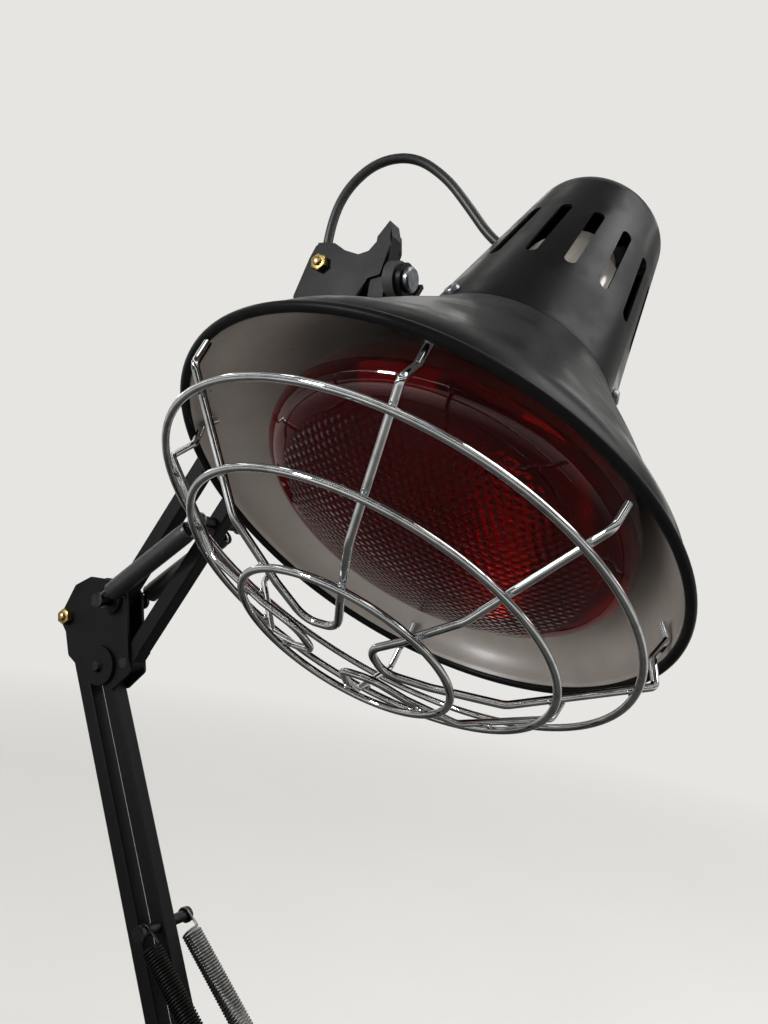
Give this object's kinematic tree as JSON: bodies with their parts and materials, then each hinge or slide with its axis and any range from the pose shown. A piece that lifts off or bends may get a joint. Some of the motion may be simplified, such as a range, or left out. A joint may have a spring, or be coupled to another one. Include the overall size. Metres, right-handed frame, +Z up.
{
  "type": "heat lamp on a swing arm",
  "caption": "Red reflector heat lamp in a bell shade with a wire guard and slotted cap, on a spring-balanced swing arm with a round weighted base.",
  "frame": {"origin": "centre of the base's underside", "axes": "+Z up; +X in the arm's plane, from the base towards the lamp head; +Y to the far side of the arm"},
  "size_m": [0.3114, 0.2511, 0.5239],
  "materials": {
    "arm_paint": "satin black, lightly textured",
    "shade_paint": "matt charcoal outside, grey-taupe inside",
    "black_steel": "blackened steel",
    "spring_steel": "drawn wire, satin",
    "sleeve_black": "smooth black tube",
    "brass": "turned, slightly dull",
    "zinc_steel": "zinc plated, satin",
    "disc_black": "pressed fibre, matt",
    "chrome_wire": "polished chrome",
    "red_glass": "deep red pressed glass with small dimples",
    "reflector_glass": "deep red glass, silvered inside",
    "lamp_base_metal": "threaded shell, satin",
    "porcelain": "glazed, cream white",
    "bridge_steel": "plain zinc-plated strip",
    "cord_black": "matt black sheath",
    "grommet_rubber": "matt black",
    "pad_rubber": "matt black sheet",
    "weight_iron": "rough casting",
    "bush_plastic": "black nylon",
    "switch_plastic": "black, fine texture",
    "rocker_plastic": "glossy black"
  },
  "bodies": {
    "base": {"base_pad": "pad_rubber", "base_weight": "weight_iron", "base_cover": "arm_paint", "pan_bush": "bush_plastic", "base_gland": "grommet_rubber", "switch_housing": "switch_plastic"},
    "rocker": {"switch_rocker": "rocker_plastic"},
    "bracket": {"swivel_post": "zinc_steel", "base_bracket": "arm_paint", "base_bolts": "black_steel", "base_spring_pin": "black_steel", "lower_spring_near": "spring_steel", "lower_spring_far": "spring_steel"},
    "front_lower": {"front_lower_bar": "arm_paint", "front_lower_eyes": "arm_paint", "lower_spring_pin": "black_steel"},
    "rear_lower": {"rear_lower_bar": "arm_paint", "rear_lower_eyes": "arm_paint"},
    "elbow": {"elbow_plate_near": "arm_paint", "elbow_plate_far": "arm_paint", "elbow_cheeks": "black_steel", "elbow_bolts": "black_steel", "elbow_nut": "brass", "upper_spring_sleeve_near": "sleeve_black", "upper_spring_sleeve_far": "sleeve_black", "upper_springs": "spring_steel"},
    "front_upper": {"front_upper_bar": "arm_paint", "front_upper_eyes": "arm_paint", "upper_spring_pin": "black_steel"},
    "rear_upper": {"rear_upper_bar": "arm_paint", "rear_upper_eyes": "arm_paint"},
    "head_bracket": {"head_plate_near": "arm_paint", "head_plate_far": "arm_paint", "head_block": "arm_paint", "head_bolts": "black_steel", "head_nut": "brass", "tilt_stud": "zinc_steel", "head_grommet": "grommet_rubber", "head_cord": "cord_black"},
    "swivel": {"swivel_strap": "arm_paint", "tilt_washer": "zinc_steel", "friction_disc": "disc_black"},
    "lamp": {"shade": "shade_paint", "neck_lug": "arm_paint", "nod_bolt": "zinc_steel", "slotted_cap": "shade_paint", "cap_screws": "black_steel", "cap_grommet": "grommet_rubber", "bulb_lens": "red_glass", "bulb_reflector": "reflector_glass", "bulb_base": "lamp_base_metal", "lamp_holder": "porcelain", "holder_bridge": "bridge_steel", "guard_ring_large": "chrome_wire", "guard_ring_middle": "chrome_wire", "guard_ring_small": "chrome_wire", "guard_hairpin_top": "chrome_wire", "guard_hairpin_left": "chrome_wire", "guard_hairpin_bottom": "chrome_wire", "guard_hairpin_right": "chrome_wire"}
  },
  "joints": [
    {"name": "pan", "type": "hinge", "parent": "base", "child": "bracket", "pos_m": [0, 0, 0.0443], "axis": [0, 0, 1], "range_deg": [-170, 170]},
    {"name": "rocker", "type": "hinge", "parent": "base", "child": "rocker", "pos_m": [0.04072, -0.04853, 0.02332], "axis": [-0.766, -0.6428, 0], "range_deg": [0, 16]},
    {"name": "lower_arm", "type": "hinge", "parent": "bracket", "child": "front_lower", "pos_m": [0.0073, 0, 0.07567], "axis": [0, 1, 0], "range_deg": [-10, 32], "deforming": ["lower_spring_near", "lower_spring_far"]},
    {"name": "lower_follow", "type": "hinge", "parent": "bracket", "child": "rear_lower", "pos_m": [-0.021, 0, 0.09447], "axis": [0, 1, 0], "range_deg": [-10, 32]},
    {"name": "elbow_level", "type": "hinge", "parent": "front_lower", "child": "elbow", "pos_m": [-0.1027, 0, 0.2662], "axis": [0, 1, 0], "range_deg": [-32, 10]},
    {"name": "upper_arm", "type": "hinge", "parent": "elbow", "child": "front_upper", "pos_m": [-0.0894, 0, 0.2704], "axis": [0, 1, 0], "range_deg": [-13, 65], "deforming": ["upper_spring_sleeve_near", "upper_spring_sleeve_far", "upper_springs"]},
    {"name": "upper_follow", "type": "hinge", "parent": "elbow", "child": "rear_upper", "pos_m": [-0.103, 0, 0.298], "axis": [0, 1, 0], "range_deg": [-13, 65]},
    {"name": "head_level", "type": "hinge", "parent": "front_upper", "child": "head_bracket", "pos_m": [-0.0002, 0, 0.43816], "axis": [0, 1, 0], "range_deg": [-65, 13]},
    {"name": "tilt", "type": "hinge", "parent": "head_bracket", "child": "swivel", "pos_m": [0.0255, 0, 0.4603], "axis": [1, 0, 0], "range_deg": [-60, 95], "deforming": ["head_cord"]},
    {"name": "nod", "type": "hinge", "parent": "swivel", "child": "lamp", "pos_m": [0.047, -0.03132, 0.41387], "axis": [0, 0.829, -0.5592], "range_deg": [-12, 15], "deforming": ["head_cord"]}
  ],
  "couplings": [
    {"joint": "lower_follow", "follows": "lower_arm", "ratio": 1},
    {"joint": "elbow_level", "follows": "lower_arm", "ratio": -1},
    {"joint": "upper_follow", "follows": "upper_arm", "ratio": 1},
    {"joint": "head_level", "follows": "upper_arm", "ratio": -1}
  ]
}
